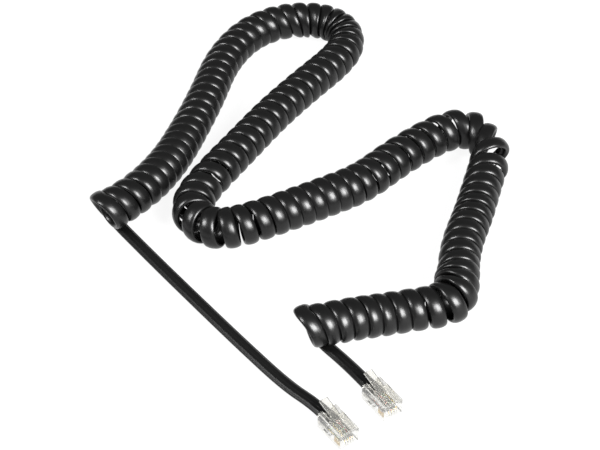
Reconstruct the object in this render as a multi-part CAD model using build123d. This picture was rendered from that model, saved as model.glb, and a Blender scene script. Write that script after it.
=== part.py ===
"""Curly lead of a hand controller, in millimetres.

A flat four-wire cord is wound into a springy coil, with a long straight tail at one end
and a short one at the other, and each tail ends in a clear four-contact modular plug.
The lead lies loose on a table, both plugs latch side up.

The frame has +Z up, z = 0 on the table, and its origin under the middle of the lead's box.
Plug A is on the long tail and plug B is on the short one. A plug is drawn in a frame of its
own, with x along the plug from its cord end to its nose, y across it and z up from the
contact side, and is then turned and moved to where it lies.
"""

import math
import os

from build123d import *

# Cord: a flat jacket round four insulated tinsel wires
cord_width = 5.1
cord_thickness = 2.6
wire_diameter = 0.88
core_diameter = 0.45
core_clearance = 0.01

# Coil: outer diameter of the wound cord
coil_diameter = 15.65

# Plug housing
plug_length = 12.3
plug_width = 7.65
plug_height = 6.6
housing_edge_radius = 0.25

# Cord and wires inside the plug
cord_clearance = 0.1
cavity_roof = 0.75
mouth_flare = 0.3
mouth_depth = 1.6
wire_clearance = 0.02
wire_web = 0.1
wire_setback = 1.1

# Contacts, set back from the plug's nose
contact_setback = 0.9
contact_thickness = 0.35
contact_length = 3.1
contact_recess = 0.55
contact_drop = 1.0
contact_bite = 0.25
contact_nose_radius = 0.5
contact_clearance = 0.01
tine_length = 0.9

# Jacket's end and the crimped bars that hold the jacket and the wires, from the cord end
jacket_depth = 5.0
jacket_bar_start = 2.0
jacket_bar_length = 2.2
jacket_bar_bite = 0.3
jacket_to_wire_bar = 0.2
wire_bar_length = 0.9
bar_pocket_margin = 0.4

# Latch, joined to the housing by a living hinge behind the nose
hinge_setback = 1.0
hinge_drop = 0.6
hinge_clearance = 0.05
latch_thickness = 1.0
latch_width = 6.0
latch_length = 6.65
latch_rise = 12.0
lever_thickness = 0.8
lever_width = 3.25
lever_length = 7.7
lever_rise = 15.0
latch_side_gap = 0.2
latch_end_gap = 0.35
latch_edge_radius = 0.15

# Where each plug lies: middle of its cord end, and the heading of its nose in degrees
plug_a_place = (9.3, -108.9, -53.7)
plug_b_place = (24.4, -96.5, -54.9)

# Wires across each plug, from its -y side to its +y side
wires_a = ["yellow", "green", "red", "black"]
wires_b = ["black", "red", "green", "yellow"]

# Coil's axis, from plug A's end to plug B's end: x, y and how far it is lifted, in cord
# thicknesses. Each end rides up on its own tail, which leaves underneath it.
coil_route = [
    (-75.5, -19.5, 1.0),
    (-63.0, -7.0, 1.0),
    (-52.5, 14.0, 0.2),
    (-45.5, 36.0, 0.0),
    (-40.0, 60.0, 0.0),
    (-34.0, 82.0, 0.0),
    (-25.0, 101.0, 0.0),
    (-12.5, 111.0, 0.0),
    (1.0, 114.0, 0.0),
    (11.0, 111.0, 0.0),
    (17.5, 104.0, 0.0),
    (19.0, 93.5, 0.0),
    (15.0, 82.0, 0.0),
    (3.0, 67.5, 0.0),
    (-12.0, 47.0, 0.0),
    (-24.5, 25.5, 0.0),
    (-33.5, 11.0, 0.0),
    (-39.5, -1.0, 0.0),
    (-41.5, -12.5, 0.0),
    (-38.5, -19.0, 0.0),
    (-32.2, -22.8, 0.0),
    (-23.5, -22.3, 0.0),
    (-9.0, -14.5, 0.0),
    (8.0, -4.0, 0.0),
    (24.0, 4.0, 0.0),
    (37.0, 18.5, 0.0),
    (52.0, 31.5, 0.0),
    (60.5, 35.0, 0.0),
    (68.0, 33.5, 0.0),
    (73.0, 28.0, 0.0),
    (74.0, 20.0, 0.0),
    (71.0, 5.0, 0.0),
    (66.0, -13.0, 0.0),
    (60.5, -31.0, 0.0),
    (57.5, -48.0, 0.0),
    (52.5, -58.0, 0.0),
    (43.5, -63.5, 0.0),
    (30.0, -67.0, 0.2),
    (15.0, -71.5, 1.0),
    (0.5, -76.0, 1.0),
]

# Tails: x, y and height of the cord's middle over where it lies flat on the table, from
# behind the plug to the middle of the coil's end above it
tail_a_route = [
    (-4.0, -94.8, 0.3),
    (-20.0, -76.6, 0.0),
    (-36.0, -57.2, 0.0),
    (-52.0, -37.2, 0.0),
    (-63.5, -21.8, 0.0),
    (-69.2, -13.6, 0.0),
]
tail_b_route = [
    (14.8, -83.0, 0.2),
    (8.0, -74.0, 0.0),
]

# Straight run of cord behind a plug, and each arc's share of its shorter run
straight_behind_plug = 5.0
arc_share = 0.45

# Sizes that follow from the ones above
hinge_along = plug_length - hinge_setback
hinge_height = plug_height - hinge_drop
hinge_radius = latch_thickness / 2
pocket_floor = hinge_height - hinge_radius - hinge_clearance
cavity_width = cord_width + 2 * cord_clearance
cavity_height = cord_thickness + 2 * cord_clearance
cavity_floor = pocket_floor - cavity_roof - cavity_height
cord_height = cavity_floor + cavity_height / 2
channel_diameter = wire_diameter + 2 * wire_clearance
wire_pitch = channel_diameter + wire_web
wire_end = plug_length - wire_setback
contact_end = plug_length - contact_setback
contact_start = contact_end - contact_length
contact_shoulder = cord_height - contact_drop
wire_bar_start = jacket_depth + jacket_to_wire_bar
bar_pocket_depth = cavity_floor / 2
pocket_front = hinge_along + hinge_radius + hinge_clearance
shoulder_along = hinge_along - latch_length * math.cos(math.radians(latch_rise))
shoulder_height = hinge_height + latch_length * math.sin(math.radians(latch_rise))
pocket_back = shoulder_along - latch_end_gap


def block(x_from, x_to, width, z_from, z_to, y_middle=0.0):
    """A box given by its ends along the plug, its width across it and its two heights."""
    middle = ((x_from + x_to) / 2, y_middle, (z_from + z_to) / 2)
    return Pos(*middle) * Box(x_to - x_from, width, z_to - z_from)


def rod(x_from, x_to, diameter, y_middle, z_middle):
    """A round bar along the plug."""
    middle = ((x_from + x_to) / 2, y_middle, z_middle)
    return Pos(*middle) * Rot(0, 90, 0) * Cylinder(diameter / 2, x_to - x_from)


def wire_offsets():
    """Distance of each wire and its contact from the plug's middle, across the plug."""
    count = len(wires_a)
    return [(i - (count - 1) / 2) * wire_pitch for i in range(count)]


def cord_mouth():
    """The flared way in for the cord, narrowing from the plug's end to the cavity."""
    outer = Plane.YZ * Pos(0, cord_height) * Rectangle(
        cavity_width + 2 * mouth_flare, cavity_height + 2 * mouth_flare
    )
    inner = Plane.YZ.offset(mouth_depth) * Pos(0, cord_height) * Rectangle(
        cavity_width, cavity_height
    )
    return loft([outer.face(), inner.face()])


def latch_pocket():
    """The recess that the latch sinks into, rounded where the hinge's root sits."""
    pocket = block(
        pocket_back, pocket_front, latch_width + 2 * latch_side_gap, pocket_floor, plug_height
    )
    root_corner = pocket.edges().filter_by(Axis.Y).group_by(Axis.X)[-1].sort_by(Axis.Z)[0]
    pocket = fillet(root_corner, hinge_radius + hinge_clearance)
    lever_way = block(
        0, pocket_back, lever_width + 2 * latch_side_gap, pocket_floor, plug_height
    )
    return pocket + lever_way


def housing():
    """The clear moulded body, with the ways cut for the cord, wires, contacts and latch."""
    body = block(0, plug_length, plug_width, 0, plug_height)
    body = fillet(body.edges().filter_by(Axis.X), housing_edge_radius)
    body -= block(0, jacket_depth, cavity_width, cavity_floor, cavity_floor + cavity_height)
    body -= cord_mouth()
    body -= latch_pocket()
    body -= block(
        jacket_bar_start - bar_pocket_margin,
        jacket_bar_start + jacket_bar_length + bar_pocket_margin,
        cord_width,
        0,
        bar_pocket_depth,
    )
    body -= block(
        wire_bar_start,
        wire_bar_start + wire_bar_length,
        wire_pitch * len(wires_a),
        0,
        bar_pocket_depth,
    )
    slot_width = contact_thickness + 2 * contact_clearance
    slot_start = contact_start - contact_clearance
    slot_end = contact_end + contact_clearance
    for y in wire_offsets():
        body -= rod(jacket_depth, wire_end + wire_clearance, channel_diameter, y, cord_height)
        body -= block(slot_start, slot_end, slot_width, 0, cord_height, y)
        body -= block(slot_end, plug_length, slot_width, 0, contact_shoulder, y)
    body += block(
        jacket_bar_start,
        jacket_bar_start + jacket_bar_length,
        cavity_width,
        cavity_floor,
        cavity_floor + cord_clearance + jacket_bar_bite,
    )
    return body


def latch():
    """The wide latch with its two shoulders, and the narrow lever that presses it down."""
    root = Pos(hinge_along, 0, hinge_height) * Rot(90, 0, 0) * Cylinder(hinge_radius, latch_width)
    plate = Pos(-latch_length / 2, 0, 0) * Box(latch_length, latch_width, latch_thickness)
    plate = fillet(plate.edges().group_by(Axis.X)[0].filter_by(Axis.Z), latch_edge_radius)
    plate = Pos(hinge_along, 0, hinge_height) * Rot(0, latch_rise, 0) * plate
    lever = Pos(-lever_length / 2, 0, 0) * Box(lever_length, lever_width, lever_thickness)
    lever = fillet(lever.edges().group_by(Axis.X)[0].filter_by(Axis.Z), latch_edge_radius)
    overlap = lever_thickness / 2
    start = Pos(shoulder_along + overlap, 0, shoulder_height - overlap / 4)
    return root + plate + start * Rot(0, lever_rise, 0) * lever


def contact(y):
    """A contact blade, with a rounded nose below and two tines that pierce its wire."""
    tip = cord_height + contact_bite
    tine_tops = []
    for tine_from in (contact_start, contact_end - tine_length):
        tine_tops += [
            (tine_from, contact_shoulder),
            (tine_from + tine_length / 4, tip),
            (tine_from + tine_length * 3 / 4, tip),
            (tine_from + tine_length, contact_shoulder),
        ]
    outline = Polyline(
        (contact_start, contact_recess), *tine_tops, (contact_end, contact_recess), close=True
    )
    side = Plane.XZ.offset(contact_thickness / 2 - y) * make_face(outline)
    blade = extrude(side, -contact_thickness)
    nose_edge = blade.edges().filter_by(Axis.Y).group_by(Axis.Z)[0].sort_by(Axis.X)[-1]
    return fillet(nose_edge, contact_nose_radius)


def wire(y):
    """One wire's insulation, bared of the jacket inside the plug."""
    sleeve = rod(jacket_depth, wire_end, wire_diameter, y, cord_height)
    return sleeve - rod(jacket_depth, wire_end, core_diameter, y, cord_height)


def core(y):
    """One wire's tinsel core."""
    return rod(jacket_depth, wire_end, core_diameter - 2 * core_clearance, y, cord_height)


def placed(place):
    """The move that takes a plug from its own frame to where it lies."""
    x, y, heading = place
    return Pos(x, y, 0) * Rot(0, 0, heading)


def plug_nodes(letter, place, wires):
    """Every piece of one plug, by node name, where it lies."""
    nodes = {"housing": housing(), "latch": latch()}
    for number, (y, colour) in enumerate(zip(wire_offsets(), wires), start=1):
        nodes[f"contact_{number}"] = contact(y)
        nodes[f"wire_{colour}"] = wire(y)
        nodes[f"core_{colour}"] = core(y)
    return {f"plug_{letter}_{name}": placed(place) * piece for name, piece in nodes.items()}


def rounded_path(name, points):
    """Straight runs joined by tangent arcs, each as large as its two runs allow."""
    corners = [Vector(*point) for point in points]
    runs = [after - before for before, after in zip(corners, corners[1:])]
    radii = []
    for run, after in zip(runs, runs[1:]):
        half_turn = math.radians(run.get_angle(after) / 2)
        radii.append(arc_share * min(run.length, after.length) / math.tan(half_turn))
    print(name, "radii", [round(radius, 1) for radius in radii])
    return FilletPolyline(*corners, radius=radii)


def swept(name, section, points):
    """A section carried along a cord's path."""
    path = rounded_path(name, points)
    start = Plane(origin=path @ 0, x_dir=Vector(0, 0, 1).cross(path % 0), z_dir=path % 0)
    solid = sweep(start * section, path=path.wire())
    straightened = section.area * path.length
    print(name, "length", round(path.length, 1), "volume share", round(solid.volume / straightened, 4))
    return solid


def tail(name, place, route):
    """A flat tail: out of the plug, down to the table and along it to the coil's end."""
    in_plug = placed(place)
    ends = [jacket_depth, -straight_behind_plug]
    points = [(in_plug * Pos(along, 0, cord_height)).position for along in ends]
    points += [(x, y, cord_thickness / 2 + rise) for x, y, rise in route]
    return swept(name, SlotOverall(cord_width, cord_thickness), points)


def coil():
    """The coil, as one bar of its outer diameter along its axis."""
    points = [(x, y, coil_diameter / 2 + lift * cord_thickness) for x, y, lift in coil_route]
    return swept("coil", Circle(coil_diameter / 2), points)


def main():
    """Build every piece and write each to its own file."""
    nodes = {
        **plug_nodes("a", plug_a_place, wires_a),
        **plug_nodes("b", plug_b_place, wires_b),
        "tail_a_jacket": tail("tail_a", plug_a_place, tail_a_route),
        "tail_b_jacket": tail("tail_b", plug_b_place, tail_b_route),
        "coil_jacket": coil(),
    }
    os.makedirs("parts", exist_ok=True)
    for name, piece in nodes.items():
        piece.label = name
        export_step(piece, f"parts/{name}.step")
    box = Compound(children=list(nodes.values())).bounding_box()
    print("nodes", len(nodes))
    print("box from", tuple(box.min), "to", tuple(box.max))


main()
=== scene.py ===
# %% [markdown]
# # A curly lead with two clear plugs
# A curly lead joins a hand controller to its mount. It is one flat four-wire cord: most of
# it is wound into a springy coil, and each end runs straight for a while and goes into a
# small clear plug. The plugs, their latches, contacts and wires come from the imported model.
# What is made here is the cord itself, every finish, and the light and floor that show it.

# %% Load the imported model
import math

import bmesh
import bpy
from mathutils import Matrix, Vector


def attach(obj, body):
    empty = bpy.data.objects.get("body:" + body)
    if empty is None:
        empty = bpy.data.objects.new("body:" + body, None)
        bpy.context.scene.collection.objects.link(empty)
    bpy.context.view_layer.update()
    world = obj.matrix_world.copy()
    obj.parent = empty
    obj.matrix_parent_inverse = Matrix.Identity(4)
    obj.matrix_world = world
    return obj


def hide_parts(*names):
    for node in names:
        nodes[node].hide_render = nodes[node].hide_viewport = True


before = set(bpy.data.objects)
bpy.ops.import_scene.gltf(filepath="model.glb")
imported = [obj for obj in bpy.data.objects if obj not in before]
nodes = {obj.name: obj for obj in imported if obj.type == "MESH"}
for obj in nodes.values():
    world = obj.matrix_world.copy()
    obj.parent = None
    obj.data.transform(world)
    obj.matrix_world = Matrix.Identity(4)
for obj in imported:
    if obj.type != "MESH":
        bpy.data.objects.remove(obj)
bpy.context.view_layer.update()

# %% [markdown]
# ## The camera
# The lead lies on a table and is seen from in front and above, from about as far as an arm
# reaches, through a long lens. A long lens keeps the near plugs and the far bend close to
# the same scale, so the coil's turns read evenly from one end to the other. The camera is
# turned in two steps, down from the horizon and then a touch round its own axis, because
# that is how a head on a tripod moves.

# %% Camera
camera_place = Vector((0.0, -0.424, 0.3793))
look_down = math.radians(42.62)
camera_roll = math.radians(0.33)
camera_lens = 87.64
sensor_width = 36

camera = bpy.data.objects.new("camera", bpy.data.cameras.new("camera"))
camera.data.lens = camera_lens
camera.data.sensor_width = sensor_width
tilt = Matrix.Rotation(math.pi / 2 - look_down, 4, "X") @ Matrix.Rotation(camera_roll, 4, "Z")
camera.matrix_world = Matrix.Translation(camera_place) @ tilt
bpy.context.scene.collection.objects.link(camera)
bpy.context.scene.camera = camera
print("the camera looks down by", round(math.degrees(look_down), 1), "degrees")

# %% [markdown]
# ## The light
# A black glossy cord is drawn by what it reflects. Two soft boxes do it here: a large one in
# front to the right, which puts the broad spot on each turn, and a fainter one to the left,
# which puts a thin line on each turn's other side. The sky is dim, so the turns stay black
# between the spots. The alternative, one overhead panel, would draw a stripe along the
# coil's top and hide its turns.

# %% Sky
sky_colour = (1.0, 1.0, 1.0, 1.0)
sky_strength = 0.2

sky = bpy.data.worlds.new("pale_sky")
sky.use_nodes = True
background = sky.node_tree.nodes["Background"]
background.inputs["Color"].default_value = sky_colour
background.inputs["Strength"].default_value = sky_strength
bpy.context.scene.world = sky
bpy.context.scene.view_settings.view_transform = "Standard"
print("the sky's strength is", sky_strength)


# %% Soft boxes
def soft_box(name, bearing, elevation, distance, width, height, watts):
    """A rectangular light that faces the middle of the lead."""
    level, rise = math.radians(bearing), math.radians(elevation)
    across = Vector((math.cos(level) * math.cos(rise), math.sin(level) * math.cos(rise)))
    place = Vector((across.x, across.y, math.sin(rise))) * distance
    light = bpy.data.objects.new(name, bpy.data.lights.new(name, "AREA"))
    light.data.shape = "RECTANGLE"
    light.data.size = width
    light.data.size_y = height
    light.data.energy = watts
    light.location = place
    light.rotation_euler = (-place).to_track_quat("-Z", "Y").to_euler()
    bpy.context.scene.collection.objects.link(light)
    print(name, "stands at", [round(value, 2) for value in place])


soft_box("key_box", bearing=-48, elevation=36, distance=1.1, width=0.48, height=0.6, watts=52)
soft_box("side_box", bearing=-155, elevation=44, distance=1.2, width=0.3, height=0.5, watts=24)


# %% Shader helper
def new_material(name, colour, roughness, **sockets):
    """A material with one shader, whose plain numbers are set on the shader's own sockets."""
    material = bpy.data.materials.new(name)
    material.use_nodes = True
    shader = material.node_tree.nodes["Principled BSDF"]
    shader.inputs["Base Color"].default_value = (*colour, 1)
    shader.inputs["Roughness"].default_value = roughness
    for socket, value in sockets.items():
        shader.inputs[socket.replace("_", " ")].default_value = value
    return material, shader


# %% Fine surface detail
grain_detail = 3


def add_grain(material, shader, grain_size, smooth, rough, height):
    """Noise that makes a finish uneven in roughness and in surface; sizes are in metres."""
    tree = material.node_tree
    place = tree.nodes.new("ShaderNodeTexCoord")
    noise = tree.nodes.new("ShaderNodeTexNoise")
    noise.inputs["Scale"].default_value = 1 / grain_size
    noise.inputs["Detail"].default_value = grain_detail
    tree.links.new(place.outputs["Object"], noise.inputs["Vector"])
    spread = tree.nodes.new("ShaderNodeMapRange")
    spread.inputs["To Min"].default_value = smooth
    spread.inputs["To Max"].default_value = rough
    tree.links.new(noise.outputs["Fac"], spread.inputs["Value"])
    tree.links.new(spread.outputs["Result"], shader.inputs["Roughness"])
    bump = tree.nodes.new("ShaderNodeBump")
    bump.inputs["Distance"].default_value = height
    tree.links.new(noise.outputs["Fac"], bump.inputs["Height"])
    tree.links.new(bump.outputs["Normal"], shader.inputs["Normal"])
    return bump


# %% [markdown]
# ## The floor
# The lead lies on a light table: white paper with a lamp under it. Most of the floor's
# brightness is its own glow, so the soft boxes throw next to no shadow on it, and it is no
# brighter than white, so the turns' undersides don't mirror too much of it.

# %% Floor
floor_size = 6.0
floor_glow = 0.92
paper_colour = (0.05, 0.05, 0.05)

bm = bmesh.new()
bmesh.ops.create_grid(bm, x_segments=1, y_segments=1, size=floor_size / 2)
floor_mesh = bpy.data.meshes.new("floor")
bm.to_mesh(floor_mesh)
bm.free()
floor = bpy.data.objects.new("floor", floor_mesh)
bpy.context.scene.collection.objects.link(floor)
floor_sockets = {"Emission_Color": (1, 1, 1, 1), "Emission_Strength": floor_glow}
floor_material, floor_shader = new_material("white_paper", paper_colour, 0.9, **floor_sockets)
add_grain(floor_material, floor_shader, grain_size=0.004, smooth=0.8, rough=0.95, height=0.00002)
floor_mesh.materials.append(floor_material)
print("the floor is", floor_size, "m across")

# %% [markdown]
# ## The coil's axis
# The coil lies in loose bends, so it is made in two steps: first a smooth line down the
# middle of the coil, and then the cord wound round that line. The line is a NURBS spline,
# whose points pull it along without its passing through them, which is how a springy coil
# rounds a bend. Each end rides up on its own tail, which leaves underneath it.

# %% Points of the axis
mm = 0.001
cord_width = 5.1 * mm
cord_thickness = 2.6 * mm
coil_radius = 15.65 / 2 * mm

coil_route = [
    (-75.5, -19.5, 1.0),
    (-62.6, -7.5, 1.0),
    (-52.0, 13.5, 0.2),
    (-45.0, 35.8, 0.0),
    (-38.6, 59.6, 0.0),
    (-34.0, 82.0, 0.0),
    (-24.8, 100.8, 0.0),
    (-12.6, 111.3, 0.0),
    (1.0, 114.6, 0.0),
    (12.0, 112.4, 0.0),
    (19.3, 105.0, 0.0),
    (20.0, 94.0, 0.0),
    (14.4, 82.4, 0.0),
    (3.0, 67.5, 0.0),
    (-11.5, 46.7, 0.0),
    (-23.9, 25.2, 0.0),
    (-32.6, 10.5, 0.0),
    (-38.9, -1.2, 0.0),
    (-41.5, -12.5, 0.0),
    (-38.2, -18.6, 0.0),
    (-32.2, -22.8, 0.0),
    (-23.5, -21.9, 0.0),
    (-8.9, -14.7, 0.0),
    (8.6, -5.2, 0.0),
    (24.2, 3.9, 0.0),
    (37.3, 18.3, 0.0),
    (51.8, 31.2, 0.0),
    (61.8, 37.4, 0.0),
    (69.4, 36.6, 0.0),
    (74.0, 29.4, 0.0),
    (75.6, 19.6, 0.0),
    (71.0, 5.0, 0.0),
    (66.0, -13.0, 0.0),
    (59.6, -31.0, 0.0),
    (57.1, -48.3, 0.0),
    (54.9, -61.2, 0.0),
    (43.5, -63.5, 0.0),
    (30.0, -67.0, 0.2),
    (15.0, -72.1, 1.0),
    (0.5, -76.0, 1.0),
]
axis_points = []
for x, y, lift in coil_route:
    axis_points.append(Vector((x * mm, y * mm, coil_radius + lift * cord_thickness)))
print("the axis is drawn by", len(axis_points), "points")


# %% A smooth line through a cord's points
def smooth_line(name, points, steps):
    """Places along one NURBS spline, a fixed number of steps to each of its points."""
    data = bpy.data.curves.new(name, "CURVE")
    data.dimensions = "3D"
    data.resolution_u = steps
    spline = data.splines.new("NURBS")
    spline.points.add(len(points) - 1)
    for point, place in zip(spline.points, points):
        point.co = (*place, 1)
    spline.order_u = 3
    spline.use_endpoint_u = True
    curve = bpy.data.objects.new(name, data)
    mesh = bpy.data.meshes.new_from_object(curve)
    line = [vertex.co.copy() for vertex in mesh.vertices]
    bpy.data.objects.remove(curve)
    bpy.data.curves.remove(data)
    bpy.data.meshes.remove(mesh)
    return line


axis_reach = 1.5 * mm


class Line:
    """A smooth line that can be asked for its place and direction at any distance along it."""

    def __init__(self, places):
        self.places = places
        self.reach = [0.0]
        for before, after in zip(places, places[1:]):
            self.reach.append(self.reach[-1] + (after - before).length)
        self.length = self.reach[-1]
        self.last = 0

    def index(self, distance):
        """How many places, with a fraction, lie before a distance along the line."""
        distance = min(max(distance, 0.0), self.length)
        while self.last > 0 and self.reach[self.last] > distance:
            self.last -= 1
        while self.last < len(self.places) - 2 and self.reach[self.last + 1] < distance:
            self.last += 1
        gap = self.reach[self.last + 1] - self.reach[self.last]
        return self.last + (distance - self.reach[self.last]) / gap

    def place(self, distance):
        """The point at a distance along the line."""
        spot = self.index(distance)
        whole = min(int(spot), len(self.places) - 2)
        return self.places[whole].lerp(self.places[whole + 1], spot - whole)

    def direction(self, distance, reach=axis_reach):
        """The way the line heads there, over a short stretch on both sides."""
        return (self.place(distance + reach) - self.place(distance - reach)).normalized()


axis_steps = 12
axis = Line(smooth_line("coil_axis", axis_points, axis_steps))
print("the coil's axis is", round(axis.length / mm, 1), "mm long")

# %% [markdown]
# ## Winding the coil
# On the real lead the cord is wound on a rod, heated and cooled, so at rest each turn lies
# against the next. A lead that has been used has tight stretches and slack ones, and a bend
# opens its outside and crowds its inside. So the loop below advances by a pitch that changes
# along the coil, and each point of a turn looks at how far away its neighbours are. Where
# they are closer than the cord is wide, the cord tips on edge, as a row of books leans.

# %% Pitch along the coil
turn_steps = 24
pitches = [
    (0, 6.1),
    (18, 5.9),
    (24, 4.8),
    (40, 4.8),
    (58, 5.1),
    (62, 5.8),
    (84, 5.4),
    (98, 5.5),
    (110, 5.8),
    (120, 6.1),
    (138, 6.0),
    (145, 6.6),
    (150, 6.4),
    (155, 5.0),
    (170, 5.2),
    (176, 4.5),
    (194, 4.8),
    (198, 6.0),
    (206, 5.4),
    (215, 5.8),
    (228, 6.0),
    (284, 6.0),
    (290, 7.4),
    (299, 7.4),
    (303, 6.0),
    (330, 5.6),
    (336, 6.3),
    (341, 6.3),
    (347, 5.9),
    (353, 5.4),
    (384, 5.3),
    (392, 6.0),
    (404, 6.2),
    (410, 7.3),
    (418, 6.7),
    (434, 7.1),
    (440, 7.7),
    (462, 8.2),
    (468, 7.9),
    (474, 6.1),
    (486, 5.6),
    (492, 5.2),
    (498, 4.95),
    (506, 5.6),
    (520, 5.4),
    (530, 5.4),
    (535, 4.6),
    (541, 4.6),
    (544, 6.3),
    (552, 6.5),
    (558, 5.8),
    (564, 5.3),
    (587, 5.3),
    (592, 5.8),
    (600, 5.8),
]
measured_length = 598.6 * mm


def value_at(steps, along):
    """The value between the two steps of a list that a distance lies between."""
    for (start, before), (end, after) in zip(steps, steps[1:]):
        if along <= end:
            return before + (after - before) * max(along - start, 0) / (end - start)
    return steps[-1][1]


def along_coil(distance):
    """A distance along the axis, as a length along the real coil in millimetres."""
    return distance / axis.length * measured_length / mm


def pitch_at(distance):
    """How far the coil advances in a turn, at a distance along its axis."""
    return value_at(pitches, along_coil(distance)) * mm * axis.length / measured_length


print("the pitch is", round(pitch_at(0) / mm, 1), "mm at the first turn")


# %% [markdown]
# ## Turns out of line
# Turns that are free to move don't stay as neat as they were wound. Round the tight bends,
# and at the coil's first end, they swell a little past the coil's own radius. On the crest of
# the far bend, and at the coil's two ends, their tops lean forward or back. Round the two
# tight bends on the right, and at the last end, they turn out of step with the coil's middle
# and fan out. Each of these has its own list of steps, so a stretch can be loosened without
# touching its neighbours. A step says how many millimetres along the coil it is, and then the
# swell or lean in millimetres or the yaw in degrees.

# %% Swells, leans and yaws
swells = [(0, 0.5), (12, 0.2), (60, 0), (298, 0), (310, 0.4), (345, 0.2)]
swells += [(426, 0.3), (440, 0.4), (456, 0.3), (463, 0.6), (469, 0.1), (474, 0)]
swells += [(526, 0), (534, 0.6), (542, 0.8), (552, 0)]

leans = [(0, -1.3), (26, 0), (140, 0), (151, -1.1), (156, -1.1), (161, 0.8), (172, 0.6)]
leans += [(182, 0), (574, 0), (600, 1.4)]

yaws = [(432, 0), (437, 2), (443, 26), (449, 44), (457, 44), (463, 14), (471, 8), (478, 4), (486, 0)]
yaws += [(526, 0), (531, -4), (536, -22), (541, -22), (549, 7), (555, 0), (580, 0), (600, 18)]
print("the largest swell is", max(swell for along, swell in swells), "mm")

# %% [markdown]
# ## One point after another
# Each turn is a ring of points. A point is placed from its distance along the axis and its
# angle round it, and the loop steps both on together, which is what makes a helix. Turns
# that lie against each other look closed, so the cord is taken a little wider in the coil
# than on its straight tails.

# %% Points of the turns
turn_count = 103
first_turn = 3.6 * mm
half_width = cord_width / 2
wound_width = 5.7 * mm
wound_half_width = wound_width / 2
half_thickness = cord_thickness / 2
wound_radius = coil_radius - half_thickness


def around(distance, angle, radius):
    """A point round the axis, where angle 0 is on its left and a quarter turn is on top."""
    along = along_coil(distance)
    swell = value_at(swells, along) * mm
    lean = value_at(leans, along) * mm
    yaw = Matrix.Rotation(math.radians(value_at(yaws, along)), 3, "Z")
    ahead = yaw @ axis.direction(distance)
    left = Vector((0, 0, 1)).cross(ahead).normalized()
    over = ahead.cross(left)
    outward = left * math.cos(angle) + over * math.sin(angle)
    middle = axis.place(distance) + Vector((0, 0, swell))
    return middle + outward * (radius + swell) + ahead * lean * math.sin(angle), outward, ahead


turns = []
distance, angle = first_turn, math.pi / 2
for step in range(turn_count * turn_steps + 1):
    turns.append((distance, angle))
    distance += pitch_at(distance) / turn_steps
    angle += 2 * math.pi / turn_steps
last_turn = turns[-1][0]
print(turn_count, "turns end", round((axis.length - last_turn) / mm, 1), "mm before the axis does")


# %% Tip each turn that its neighbours crowd
def tip_angle(spacing):
    """How far the flat cord tips on edge where its neighbours are that close."""
    if spacing >= 2 * wound_half_width:
        return 0.0
    if spacing <= 2 * half_thickness:
        return math.pi / 2
    flat, edge = 1 / wound_half_width**2, 1 / half_thickness**2
    return math.asin(math.sqrt((4 / spacing**2 - flat) / (edge - flat)))


middles = [around(distance, angle, wound_radius)[0] for distance, angle in turns]
wound = []
wound_sides = []
for index, (distance, angle) in enumerate(turns):
    before = max(index - turn_steps, 0)
    after = min(index + turn_steps, len(turns) - 1)
    spacing = (middles[after] - middles[before]).length * turn_steps / (after - before)
    tip = tip_angle(spacing)
    depth = math.hypot(wound_half_width * math.sin(tip), half_thickness * math.cos(tip))
    place, outward, ahead = around(distance, angle, coil_radius - depth)
    wound.append(place)
    wound_sides.append((ahead * math.cos(tip) + outward * math.sin(tip)) * wound_half_width)
print("the turns take", len(wound), "points")

# %% [markdown]
# ## The tails
# A tail comes out of its plug at half the plug's height, sinks to the table and lies flat.
# It passes under the coil's end, turns up behind it and becomes the first turn, so each end
# of the coil stands on its own tail. The points are listed where the tail lies, and
# worked out by a short loop where it climbs the back of the coil.

# %% Points of the tails
plug_a_place = (9.3, -108.9, -53.7)
plug_b_place = (24.4, -96.5, -54.9)
jacket_depth = 5.0
straight_behind_plug = 5.0
cord_height = 3.3

tail_a_route = [
    (-4.0, -94.8, 0.3),
    (-19.5, -76.1, 0.0),
    (-35.3, -56.6, 0.0),
    (-51.3, -36.6, 0.0),
    (-63.1, -21.5, 0.0),
    (-69.2, -13.6, 0.0),
]
tail_b_route = [
    (15.3, -82.6, 0.2),
    (8.0, -74.0, 0.0),
]


def in_plug(place, along, across, height):
    """A point given along, across and up a plug, moved to where the plug lies."""
    x, y, heading = place
    turned = Matrix.Rotation(math.radians(heading), 3, "Z") @ Vector((along, across, height))
    return (turned + Vector((x, y, 0))) * mm


def tail_points(place, route):
    """A tail's points, from inside its plug to under the coil."""
    along_plug = (jacket_depth, -straight_behind_plug)
    points = [in_plug(place, along, 0, cord_height) for along in along_plug]
    return points + [Vector((x * mm, y * mm, half_thickness + rise * mm)) for x, y, rise in route]


def flat_sides(points):
    """The way across a tail that lies flat, at each of its points."""
    around_points = [points[0]] + points + [points[-1]]
    ahead = [after - before for before, after in zip(around_points, around_points[2:])]
    return [way.cross(Vector((0, 0, 1))).normalized() * half_width for way in ahead]


tail_a = tail_points(plug_a_place, tail_a_route)
tail_b = tail_points(plug_b_place, tail_b_route)[::-1]
print("the tails have", len(tail_a), "and", len(tail_b), "points")

# %% Points of the climbs behind the coil
climb_steps = 10
climb_shift = 5.4 * mm
under_radius = coil_radius + cord_thickness - half_thickness


def climb(end_turn, start_angle, way):
    """A half turn between the table and an end turn, drifting along the coil as it rises."""
    points = []
    sides = []
    for step in range(1, climb_steps):
        done = step / climb_steps
        risen = done * done * (3 - 2 * done)
        radius = under_radius + (wound_radius - under_radius) * risen
        drift = way * climb_shift * (1 - risen)
        place, outward, ahead = around(end_turn + drift, start_angle + way * math.pi * done, radius)
        points.append(place)
        sides.append(ahead * (half_width + (wound_half_width - half_width) * risen))
    return points[::way], sides[::way]


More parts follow.
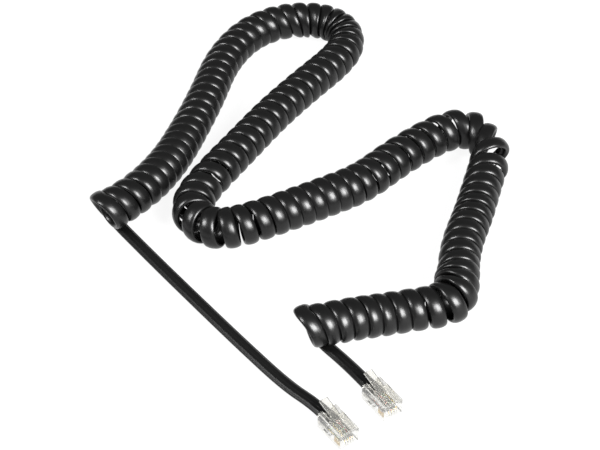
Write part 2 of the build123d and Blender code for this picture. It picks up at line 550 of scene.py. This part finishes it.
climb_a, climb_a_sides = climb(first_turn, -math.pi / 2, 1)
climb_b, climb_b_sides = climb(last_turn, -math.pi / 2, -1)
print("each climb has", len(climb_a), "points")

# %% [markdown]
# ## The cord as one piece
# The real cord is one length from plug to plug, so it is one mesh here too: a flat oval
# section carried along one smooth spline that all of those points draw. The section's way
# across is kept with each point, flat on the table along the tails and along the coil's axis
# round the turns, so the cord never twists between them. A curve with a round bevel would be
# quicker, but could not lie flat in one place and on edge in another.

# %% Spline of the whole cord
line_steps = 6
spline_lag = 0.5  # the spline is half a point behind the points that pull it
cord_points = tail_a + climb_a + wound + climb_b + tail_b
cord_sides = flat_sides(tail_a) + climb_a_sides + wound_sides + climb_b_sides + flat_sides(tail_b)
cord_line = Line(smooth_line("cord_line", cord_points, line_steps))
print("the cord is", round(cord_line.length, 3), "m long")


def side_at(distance, ahead):
    """The way across the cord at a distance along it, square to the way it heads."""
    last_spot = len(cord_sides) - 1.001  # just short of the last side, so that one still follows
    spot = min(cord_line.index(distance) / line_steps + spline_lag, last_spot)
    whole = int(spot)
    side = cord_sides[whole].lerp(cord_sides[whole + 1], spot - whole)
    return (side - ahead * side.dot(ahead)).normalized() * side.length


# %% Section of the cord
section_steps = 28
section_fullness = 2.1


def rounded(value):
    """A cosine or sine drawn out towards the corners of its square."""
    return math.copysign(abs(value) ** (2 / section_fullness), value)


section = []
for step in range(section_steps):
    turn = 2 * math.pi * step / section_steps
    section.append((rounded(math.cos(turn)), half_thickness * rounded(math.sin(turn))))
print("the section has", len(section), "points")

# %% Carry the section along the spline
row_gap = 1.32 * mm
row_count = round(cord_line.length / row_gap)
bm = bmesh.new()
cord_map = bm.loops.layers.uv.new("along_and_round")
rows = []
for row in range(row_count + 1):
    distance = cord_line.length * row / row_count
    ahead = cord_line.direction(distance, row_gap / 2)
    side = side_at(distance, ahead)
    up = side.cross(ahead).normalized()
    centre = cord_line.place(distance)
    rows.append([bm.verts.new(centre + side * x + up * y) for x, y in section])
for row, (ring, after) in enumerate(zip(rows, rows[1:])):
    for step in range(section_steps):
        following = (step + 1) % section_steps
        face = bm.faces.new((ring[step], ring[following], after[following], after[step]))
        face.smooth = True
        corners = ((row, step), (row, step + 1), (row + 1, step + 1), (row + 1, step))
        for loop, (along, round_it) in zip(face.loops, corners):
            loop[cord_map].uv = (along * row_gap / cord_width, round_it / section_steps)
bm.faces.new(rows[0][::-1])
bm.faces.new(rows[-1])
bmesh.ops.recalc_face_normals(bm, faces=bm.faces)
cord_mesh = bpy.data.meshes.new("cord")
bm.to_mesh(cord_mesh)
bm.free()
cord = bpy.data.objects.new("cord", cord_mesh)
bpy.context.scene.collection.objects.link(cord)
print("the cord has", len(cord_mesh.polygons), "faces")

# %% [markdown]
# ## The black jacket
# The jacket is soft PVC with a low gloss. Extruded over four round wires, it keeps a faint
# ridge over each of them, so fine lines run along the straight tails. In the coil the heat
# that set the turns has smoothed the ridges. They are drawn here as a ripple across the
# section, with the map that was laid on the cord as it was made.

# %% Black jacket
ridge_height = 0.05 * mm
ridges_across = 4
ridge_left_in_coil = 0.1
tail_a_reach = 130 * mm
tail_b_reach = 35 * mm

jacket_black = (0.0022, 0.0022, 0.0022)
jacket_sockets = {"Specular_IOR_Level": 0.27}
jacket, jacket_shader = new_material("black_jacket", jacket_black, 0.3, **jacket_sockets)
jacket_grain = {"grain_size": 0.0012, "smooth": 0.27, "rough": 0.35, "height": 0.00001}
jacket_bump = add_grain(jacket, jacket_shader, **jacket_grain)
jacket_tree = jacket.node_tree
cord_place = jacket_tree.nodes.new("ShaderNodeUVMap")
cord_place.uv_map = "along_and_round"
round_place = jacket_tree.nodes.new("ShaderNodeSeparateXYZ")
jacket_tree.links.new(cord_place.outputs["UV"], round_place.inputs["Vector"])


def jacket_math(operation, source, number=0.0, other=None):
    """One sum in the jacket's material, of a socket with a number or with another socket."""
    node = jacket_tree.nodes.new("ShaderNodeMath")
    node.operation = operation
    node.inputs[1].default_value = number
    jacket_tree.links.new(source, node.inputs[0])
    if other:
        jacket_tree.links.new(other, node.inputs[1])
    return node.outputs["Value"]


across_cord = jacket_math("COSINE", jacket_math("MULTIPLY", round_place.outputs["Y"], 2 * math.pi))
ripple = jacket_math("COSINE", jacket_math("MULTIPLY", across_cord, ridges_across * math.pi))
in_tail_a = jacket_math("LESS_THAN", round_place.outputs["X"], tail_a_reach / cord_width)
tail_b_start = (cord_line.length - tail_b_reach) / cord_width
in_tail_b = jacket_math("GREATER_THAN", round_place.outputs["X"], tail_b_start)
in_tail = jacket_math("ADD", in_tail_a, other=in_tail_b)
ridge = jacket_math("MULTIPLY", ripple, other=jacket_math("MAXIMUM", in_tail, ridge_left_in_coil))
ridge_bump = jacket_tree.nodes.new("ShaderNodeBump")
ridge_bump.inputs["Distance"].default_value = ridge_height
jacket_tree.links.new(ridge, ridge_bump.inputs["Height"])
jacket_tree.links.new(jacket_bump.outputs["Normal"], ridge_bump.inputs["Normal"])
jacket_tree.links.new(ridge_bump.outputs["Normal"], jacket_shader.inputs["Normal"])
cord_mesh.materials.append(jacket)
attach(cord, "lead")
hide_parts("tail_a_jacket", "coil_jacket", "tail_b_jacket")

# %% [markdown]
# ## The plugs' finishes
# The housing and latch are clear polycarbonate. Moulded this thick it isn't perfectly clear:
# it takes a little light at each face and scatters a little more, which is what makes the
# plug read as a pale block with grey sides, with the wires as faint warm streaks inside it.
# Transmission with polycarbonate's own index of refraction does that, where plain
# transparency would show no edges. The contacts are gold-plated and the wires' cores are
# copper tinsel.

# %% Clear plastic
clear_colour = (0.8, 0.79, 0.75)
clear_sockets = {"IOR": 1.58, "Transmission_Weight": 0.95}
clear, clear_shader = new_material("clear_plastic", clear_colour, 0.08, **clear_sockets)
add_grain(clear, clear_shader, grain_size=0.0009, smooth=0.04, rough=0.1, height=0.000006)

# %% Contacts and wires
gold, gold_shader = new_material("contact_gold", (0.83, 0.62, 0.28), 0.25, Metallic=1.0)
add_grain(gold, gold_shader, grain_size=0.0004, smooth=0.18, rough=0.34, height=0.000005)
tinsel, tinsel_shader = new_material("copper_tinsel", (0.75, 0.42, 0.26), 0.35, Metallic=1.0)
add_grain(tinsel, tinsel_shader, grain_size=0.0002, smooth=0.25, rough=0.5, height=0.00003)
wire_colours = {
    "black": (0.02, 0.02, 0.02),
    "red": (0.36, 0.07, 0.05),
    "green": (0.06, 0.2, 0.08),
    "yellow": (0.55, 0.42, 0.12),
}
wire_grain = {"grain_size": 0.0005, "smooth": 0.32, "rough": 0.48, "height": 0.000005}


def finish(piece, material):
    """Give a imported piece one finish."""
    piece.data.materials.clear()
    piece.data.materials.append(material)


for name, piece in nodes.items():
    if name.endswith("housing") or name.endswith("latch"):
        finish(piece, clear)
    elif "contact" in name:
        finish(piece, gold)
    elif "core" in name:
        finish(piece, tinsel)
for colour, value in wire_colours.items():
    insulation, insulation_shader = new_material("insulation_" + colour, value, 0.4)
    add_grain(insulation, insulation_shader, **wire_grain)
    for letter in "ab":
        finish(nodes[f"plug_{letter}_wire_{colour}"], insulation)
plug_finishes = {piece.data.materials[0].name for name, piece in nodes.items() if "plug" in name}
print("the plugs have", len(plug_finishes), "finishes")
